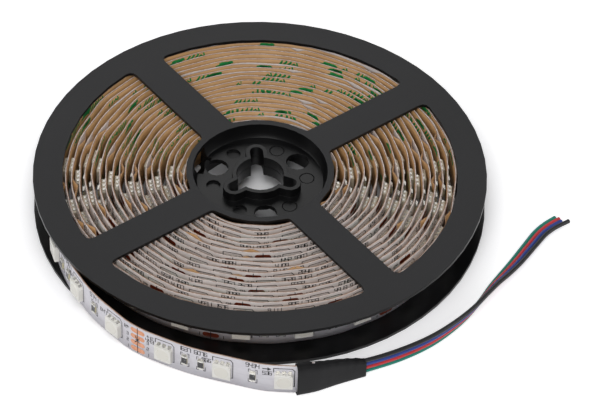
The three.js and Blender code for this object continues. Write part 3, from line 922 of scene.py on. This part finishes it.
def printNumber(bm, at, height, number, digit):
    tall, width = digit
    text = str(number)
    for k, figure in enumerate(text):
        left = (k - len(text) / 2) * tall * markSet["digitStep"]
        bars = [markSet["digitBars"][bar] for bar in markSet["digits"][int(figure)]]
        lines = [tuple((left + x * tall, height + (y - 0.5) * tall) for x, y in bar) for bar in bars]
        strokes(bm, at, lines, width)


# small meshes are poured into a large one, which keeps each step quick
def pour(part, whole):
    mesh = toMesh("part", part)
    whole.from_mesh(mesh)
    bpy.data.meshes.remove(mesh)


def printPad(bm, cut, height):
    wide, proud = padSet["width"], markSet["proud"]
    for side in (-1, 1):
        matrix = placeOnStrip(cut + side * (padSet["length"] - wide) / 2, height, proud)
        bmesh.ops.create_circle(bm, cap_ends=True, segments=padSet["sides"], radius=wide / 2, matrix=matrix)
    for part in (-1, 0, 1):
        middle = part * padSet["strip"]
        stroke(bm, cut, (middle - 0.05, height), (middle + 0.05, height), wide)


# four pads across the cut line, numbered on both sides, with a plus at the last
def printCut(ink, pads, cut):
    pad = markSet["pad"]
    for row in range(4):
        height = stripWidth / 2 + (row - 1.5) * padSet["pitch"]
        number, shift = (12, pad["lastShift"]) if row == 3 else (row + 1, pad["shift"])
        printPad(pads, cut, height)
        for side in (-1, 1):
            if row == 3:
                printMark(ink, cut, "plus", shift=side * pad["shift"], rise=height)
            printNumber(ink, cut + side * shift, height + pad["height"], number, pad["digit"])
    for name in ("cut", "scissors"):
        printMark(ink, cut, name, proud=markSet["cutProud"])


def makeMarks():
    ink, pads, dullPads = bmesh.new(), bmesh.new(), bmesh.new()
    package, chip = markSet["package"], markSet["chip"]
    for at, _, _ in ledPlaces:
        part = bmesh.new()
        printMark(part, at, "bracket")
        printNumber(part, at + package["shift"], package["height"], rng.randint(100, 999), package["digit"])
        if at == ledPlaces[-1][0]:
            printMark(part, at, "arrow", shift=markSet["arrowPlace"][0], rise=markSet["arrowPlace"][1])
        pour(part, ink)
    for segment in range(int(stripLength / path["segment"]) + 1):
        cut = stripLength - segment * path["segment"]
        for at in (cut - offset for offset in resistorSet["offsets"]):
            if at > chip["first"]:
                part = bmesh.new()
                printNumber(part, at, chip["height"], rng.randint(1000, 9999), chip["digit"])
                strokes(part, at, markSet["chipCorners"], markSet["lines"]["chip"])
                pour(part, ink)
        if segment > 0 and cut > 8:
            part, copper = bmesh.new(), bmesh.new()
            printCut(part, copper, cut)
            pour(part, ink)
            pour(copper, pads if segment < padSet["fresh"] else dullPads)
    black = printInk("blackScreenInk", [(0.3, "#151517"), (0.7, "#242427")])
    for name, bm, finish in (("printedMarks", ink, black), ("solderPads", pads, bareCopper()),
                             ("woundPads", dullPads, tarnishedCopper())):
        finishPiece(name, bm, [finish], False)


makeMarks()
print("pads and marks made")


# green print on the liner: loose strokes and blots
linerPrint = {
    "pitch": 18.5,
    "rows": (9.15, 9.1, 9.0, 9.1, 5.2, 2.4),
    "span": (8.0, 40),  # from the first end, and from the last
    "clear": 6,  # of the folds
    "proud": 0.015,
    "blot": [  # middle, half length and half height of each lobe, degrees
        ((-0.5, 0.0), (1.9, 0.84), 6), ((0.9, -0.1), (1.7, 0.8), -7), ((-1.8, -0.45), (1.0, 0.5), 14),
        ((0.2, 0.3), (1.4, 0.5), 4), ((2.1, 0.3), (0.9, 0.5), -18),
    ],
    "blotSides": 9,
    "blotShare": 0.75,
    "curl": [
        ((-0.8, 0.6), (-0.6, -0.2), 0.46), ((-0.6, -0.2), (0.2, -0.5), 0.46), ((0.2, -0.5), (0.8, 0.2), 0.42),
    ],
    "curlBeside": 3.6,
    "slant": 0.55,
    "slash": {"share": 0.65, "beside": 4.3, "from": -1.9, "step": 1.3, "half": (0.6, 0.95), "width": 0.68},
    "top": 9.6,
}


def placeOnLiner(length, height, proud, turn=0.0):
    point, ahead, outwards = stripFrame(length)
    rise = min(max(height / stripWidth, 0.0), 1.0)
    depth = stripThickness / 2 + linerSet["thickness"] + linerGap(length, rise) + proud
    place = inFrame(point - outwards * depth, floorHeight(point) + rise * linerWidth(length))
    return standing(place, -ahead, -outwards, turn)


def printBlot(bm, at, row):
    for (x, y), (long, tall), tilt in linerPrint["blot"]:
        shake = rng.uniform(-0.3, 0.3)
        place = placeOnLiner(at + shake - x, row + y, linerPrint["proud"], math.radians(tilt))
        matrix = place @ Matrix.Diagonal((long * rng.uniform(0.8, 1.1), tall, 1, 1))
        bmesh.ops.create_circle(bm, cap_ends=True, segments=linerPrint["blotSides"], radius=1.0,
                                matrix=matrix)


def printSlashes(bm, at, row):
    slash, slant, proud = (linerPrint[k] for k in ("slash", "slant", "proud"))
    beside = rng.choice((-1, 1)) * slash["beside"]
    for k in range(rng.randint(2, 4)):
        x, tall = k * slash["step"] + slash["from"] + beside, rng.uniform(*slash["half"])
        base = min(row, linerPrint["top"] - tall)
        low, high = (x - slant, base - tall), (x + slant, base + tall)
        stroke(bm, at, low, high, slash["width"], proud, placeOnLiner)
    x = beside + math.copysign(linerPrint["curlBeside"], beside)
    for low, high, wide in linerPrint["curl"]:
        stroke(bm, at, (x + low[0], low[1] + row), (x + high[0], high[1] + row), wide, proud, placeOnLiner)


def makeLinerPrint():
    ink = bmesh.new()
    at, end = linerPrint["span"]
    while at < woundLength - end:
        row = rng.choice(linerPrint["rows"])
        if all(abs(at - spot) >= half + linerPrint["clear"] for spot, half, _, _ in buckles):
            part = bmesh.new()
            kind = rng.random()
            if kind < linerPrint["blotShare"]:
                printBlot(part, at, row)
            if kind > 1 - linerPrint["slash"]["share"]:
                printSlashes(part, at, row)
            pour(part, ink)
        at += linerPrint["pitch"] * rng.uniform(0.6, 1.4)
    green = printInk("greenLinerInk", [(0.3, "#12843F"), (0.7, "#1E9C50")])
    finishPiece("linerPrint", ink, [green], False)


makeLinerPrint()
print("liner print made")


# heat-shrink sleeve over the solder joints
sleeveSet = {
    "route": [(-4.8, -1.7), (0.2, -0.2), (6.8, 2.7), (13.5, 5.5)],
    "thick": (3.1, 3.1, 3.0, 2.7, 2.5, 2.4, 2.35, 2.3),
    "high": (10.8, 10.8, 10.1, 9.4, 8.7, 7.9, 7.0, 5.9),
    "sides": 28,
    "rings": 40,
    "wall": 0.3,
    "square": (0.6, 0.32),  # powers that square the section off, as film round a flat strip
    "crease": 0.12,
    "creaseAt": (0.5, 0.02, 4),  # how quickly they change along and round it, and set in
    "creaseFoot": (0.6, 0.3),  # below this height only this share of them
    "steps": 600,
    "look": 0.3,
}


# cross-linked polyolefin, shrunk hot: satin black with soft creases where it bridges the strip's end
def shrunkPolyolefin():
    return mottledFinish("shrunkPolyolefin", 260.0, [(0.3, "#101012"), (0.7, "#161618")],
                         {"IOR": 1.48, "Specular IOR Level": 0.25},
                         detail=4.0, grit=0.55, gloss=(0.5, 0.62), relief=(0.5, 0.15))


def profileAt(values, share):
    spot = share * (len(values) - 1)
    index = min(int(spot), len(values) - 2)
    t = smoothStep(spot, index, index + 1)
    return values[index] * (1 - t) + values[index + 1] * t


def makeSleeve():
    line = MeasuredLine([cutEnd + Vector(step) for step in sleeveSet["route"]], sleeveSet["steps"])
    bm = bmesh.new()
    share = bm.verts.layers.float.new("share")
    angle = bm.verts.layers.float.new("angle")
    ring = bmesh.ops.create_circle(bm, segments=sleeveSet["sides"], radius=1.0)["verts"]
    for vert in ring:
        vert[angle] = math.atan2(vert.co.y, vert.co.x)
    edges = list(bm.edges)
    for k in range(1, sleeveSet["rings"] + 1):
        fresh, edges = growRow(bm, edges)
        for vert in fresh:
            vert[share] = k / sleeveSet["rings"]
    (alongRate, roundRate, setIn), (foot, footShare) = sleeveSet["creaseAt"], sleeveSet["creaseFoot"]
    sidePower, upPower = sleeveSet["square"]
    for vert in bm.verts:
        at = vert[share] * line.length
        point = line.at(at)
        ahead = unit(line.at(at + sleeveSet["look"]) - line.at(at - sleeveSet["look"]))
        thick, high = profileAt(sleeveSet["thick"], vert[share]), profileAt(sleeveSet["high"], vert[share])
        c, s = math.cos(vert[angle]), math.sin(vert[angle])
        across = math.copysign(abs(c) ** sidePower, c) * thick / 2
        up = math.copysign(abs(s) ** upPower, s) * high / 2 + high / 2
        spot = Vector((at * alongRate, math.degrees(vert[angle]) * roundRate, 2.0))
        crease = noise.noise(spot) * sleeveSet["crease"] * min(1, vert[share] * setIn)
        across += math.copysign(crease, c) * (footShare if up < foot else 1)
        vert.co = inFrame(point + Vector((-ahead.y, ahead.x)) * across, up) * mm
    bmesh.ops.recalc_face_normals(bm, faces=bm.faces)
    piece = finishPiece("heatShrinkSleeve", bm, [shrunkPolyolefin()], True,
                        ["heat_shrink_sleeve"])
    addModifier(piece, "SOLIDIFY", thickness=sleeveSet["wall"] * mm, offset=-1.0, use_even_offset=True,
                use_rim=True)


makeSleeve()
solderMaterial = tinSolder()
for number in range(1, 5):
    joint = nodes[f"solder_joint_{number}"]
    joint.data.materials.clear()
    joint.data.materials.append(solderMaterial)
print("sleeve made")


# floor, backdrop and lights
stageSet = {
    "paper": "#EDEDEF",
    "openGlow": 0.58,
    "openFrom": (56, 72),  # mm from the reel's axis; nearer in, the floor's glow fades out, a painted shade round and under the reel
    "boreSpot": (0.0, 10.3),  # middle of a painted pool of light, where light falls through the arbor hole
    "boreGlow": 0.25,
    "boreReach": 5.5,
    "worldLight": 0.05,
    "floorHalf": 2.5,  # m
    "floorDrop": 0.02,  # below the reel, so that the two never share a plane
}
lamps = [  # name, place in mm, aims at, size in mm, watts
    ("topSoftbox", (0, -300, 850), (0, 0, 0), 500, 1.8),
    ("backSoftbox", (-50, 900, 600), (0, 0, 0), 700, 2.0),
    ("frontSoftbox", (-150, -800, 600), (0, -20, 0), 600, 3.8),
    ("leftSoftbox", (-850, 50, 400), (0, 0, 0), 500, 2.1),
    ("rightSoftbox", (850, -50, 400), (0, 0, 0), 500, 2.1),
]


# seamless white paper: matt, and bright to the camera so that it reads as white; near the reel that
# brightness fades, a painted shade round and under it, and a painted pool of light lies below the arbor hole
def backdropPaper():
    material, tree, place = newMaterial("whiteBackdropPaper")
    rays = addNode(tree, "LightPath").outputs
    paper = addNode(tree, "BsdfDiffuse", {"Color": toLinear(stageSet["paper"])})
    centre, spot = ((x * mm, y * mm, 0) for x, y in (axisPlace, stageSet["boreSpot"]))
    away = addNode(tree, "VectorMath", {"operation": "DISTANCE", 1: centre}, {0: place}).outputs["Value"]
    near = addNode(tree, "VectorMath", {"operation": "DISTANCE", 1: spot}, {0: place}).outputs["Value"]
    low, high = stageSet["openFrom"]
    outside = {"From Min": low * mm, "From Max": high * mm, "To Max": stageSet["openGlow"]}
    inside = {"From Max": stageSet["boreReach"] * mm, "To Min": stageSet["boreGlow"], "To Max": 0.0}
    # painted shade near the reel, and a painted pool of light below the arbor hole
    level = addNode(tree, "Math", {"operation": "ADD"}, {
        0: addNode(tree, "MapRange", outside, {"Value": away}),
        1: addNode(tree, "MapRange", inside, {"Value": near}),
    })
    bright = addNode(tree, "Emission", {"Color": (1, 1, 1, 1)}, {"Strength": level})
    seen = rays["Is Camera Ray"]
    for other in ("Is Glossy Ray", "Is Transmission Ray"):
        seen = addNode(tree, "Math", {"operation": "MAXIMUM"}, {0: seen, 1: rays[other]})
    none = addNode(tree, "Emission", {"Strength": 0.0})
    lit = addNode(tree, "MixShader", None, {0: seen, 1: none, 2: bright})
    return closeMaterial(material, None, {0: paper, 1: lit}, "AddShader")


def makeStage():
    bm = bmesh.new()
    below = Matrix.Translation((0, 0, -stageSet["floorDrop"] * mm))
    bmesh.ops.create_grid(bm, x_segments=1, y_segments=1, size=stageSet["floorHalf"], matrix=below)
    floor = putInScene("floor", toMesh("floor", bm))
    floor.data.materials.append(backdropPaper())
    for name, place, aim, size, watts in lamps:
        data = bpy.data.lights.new(name, "AREA")
        data.shape = "DISK"
        data.size = size * mm
        data.energy = watts
        lamp = putInScene(name, data)
        lamp.location = Vector(place) * mm
        lamp.rotation_mode = "QUATERNION"
        lamp.rotation_quaternion = (Vector(aim) - Vector(place)).to_track_quat("-Z", "Y")


def makeWorld():
    world = bpy.data.worlds.new("studio")
    world.use_nodes = True
    tree = world.node_tree
    tree.nodes.clear()
    rays = addNode(tree, "LightPath").outputs
    seen = addNode(tree, "Math", {"operation": "MAXIMUM"},
                   {0: rays["Is Camera Ray"], 1: rays["Is Transmission Ray"]})
    room = addNode(tree, "Background", {"Color": (1, 1, 1, 1), "Strength": stageSet["worldLight"]})
    white = addNode(tree, "Background", {"Color": (1, 1, 1, 1), "Strength": 1.0})
    mixed = addNode(tree, "MixShader", None, {0: seen, 1: room, 2: white})
    addNode(tree, "OutputWorld", None, {"Surface": mixed})
    bpy.context.scene.world = world


makeStage()
makeWorld()
bpy.context.scene.view_settings.view_transform = "Standard"
print("stage made")
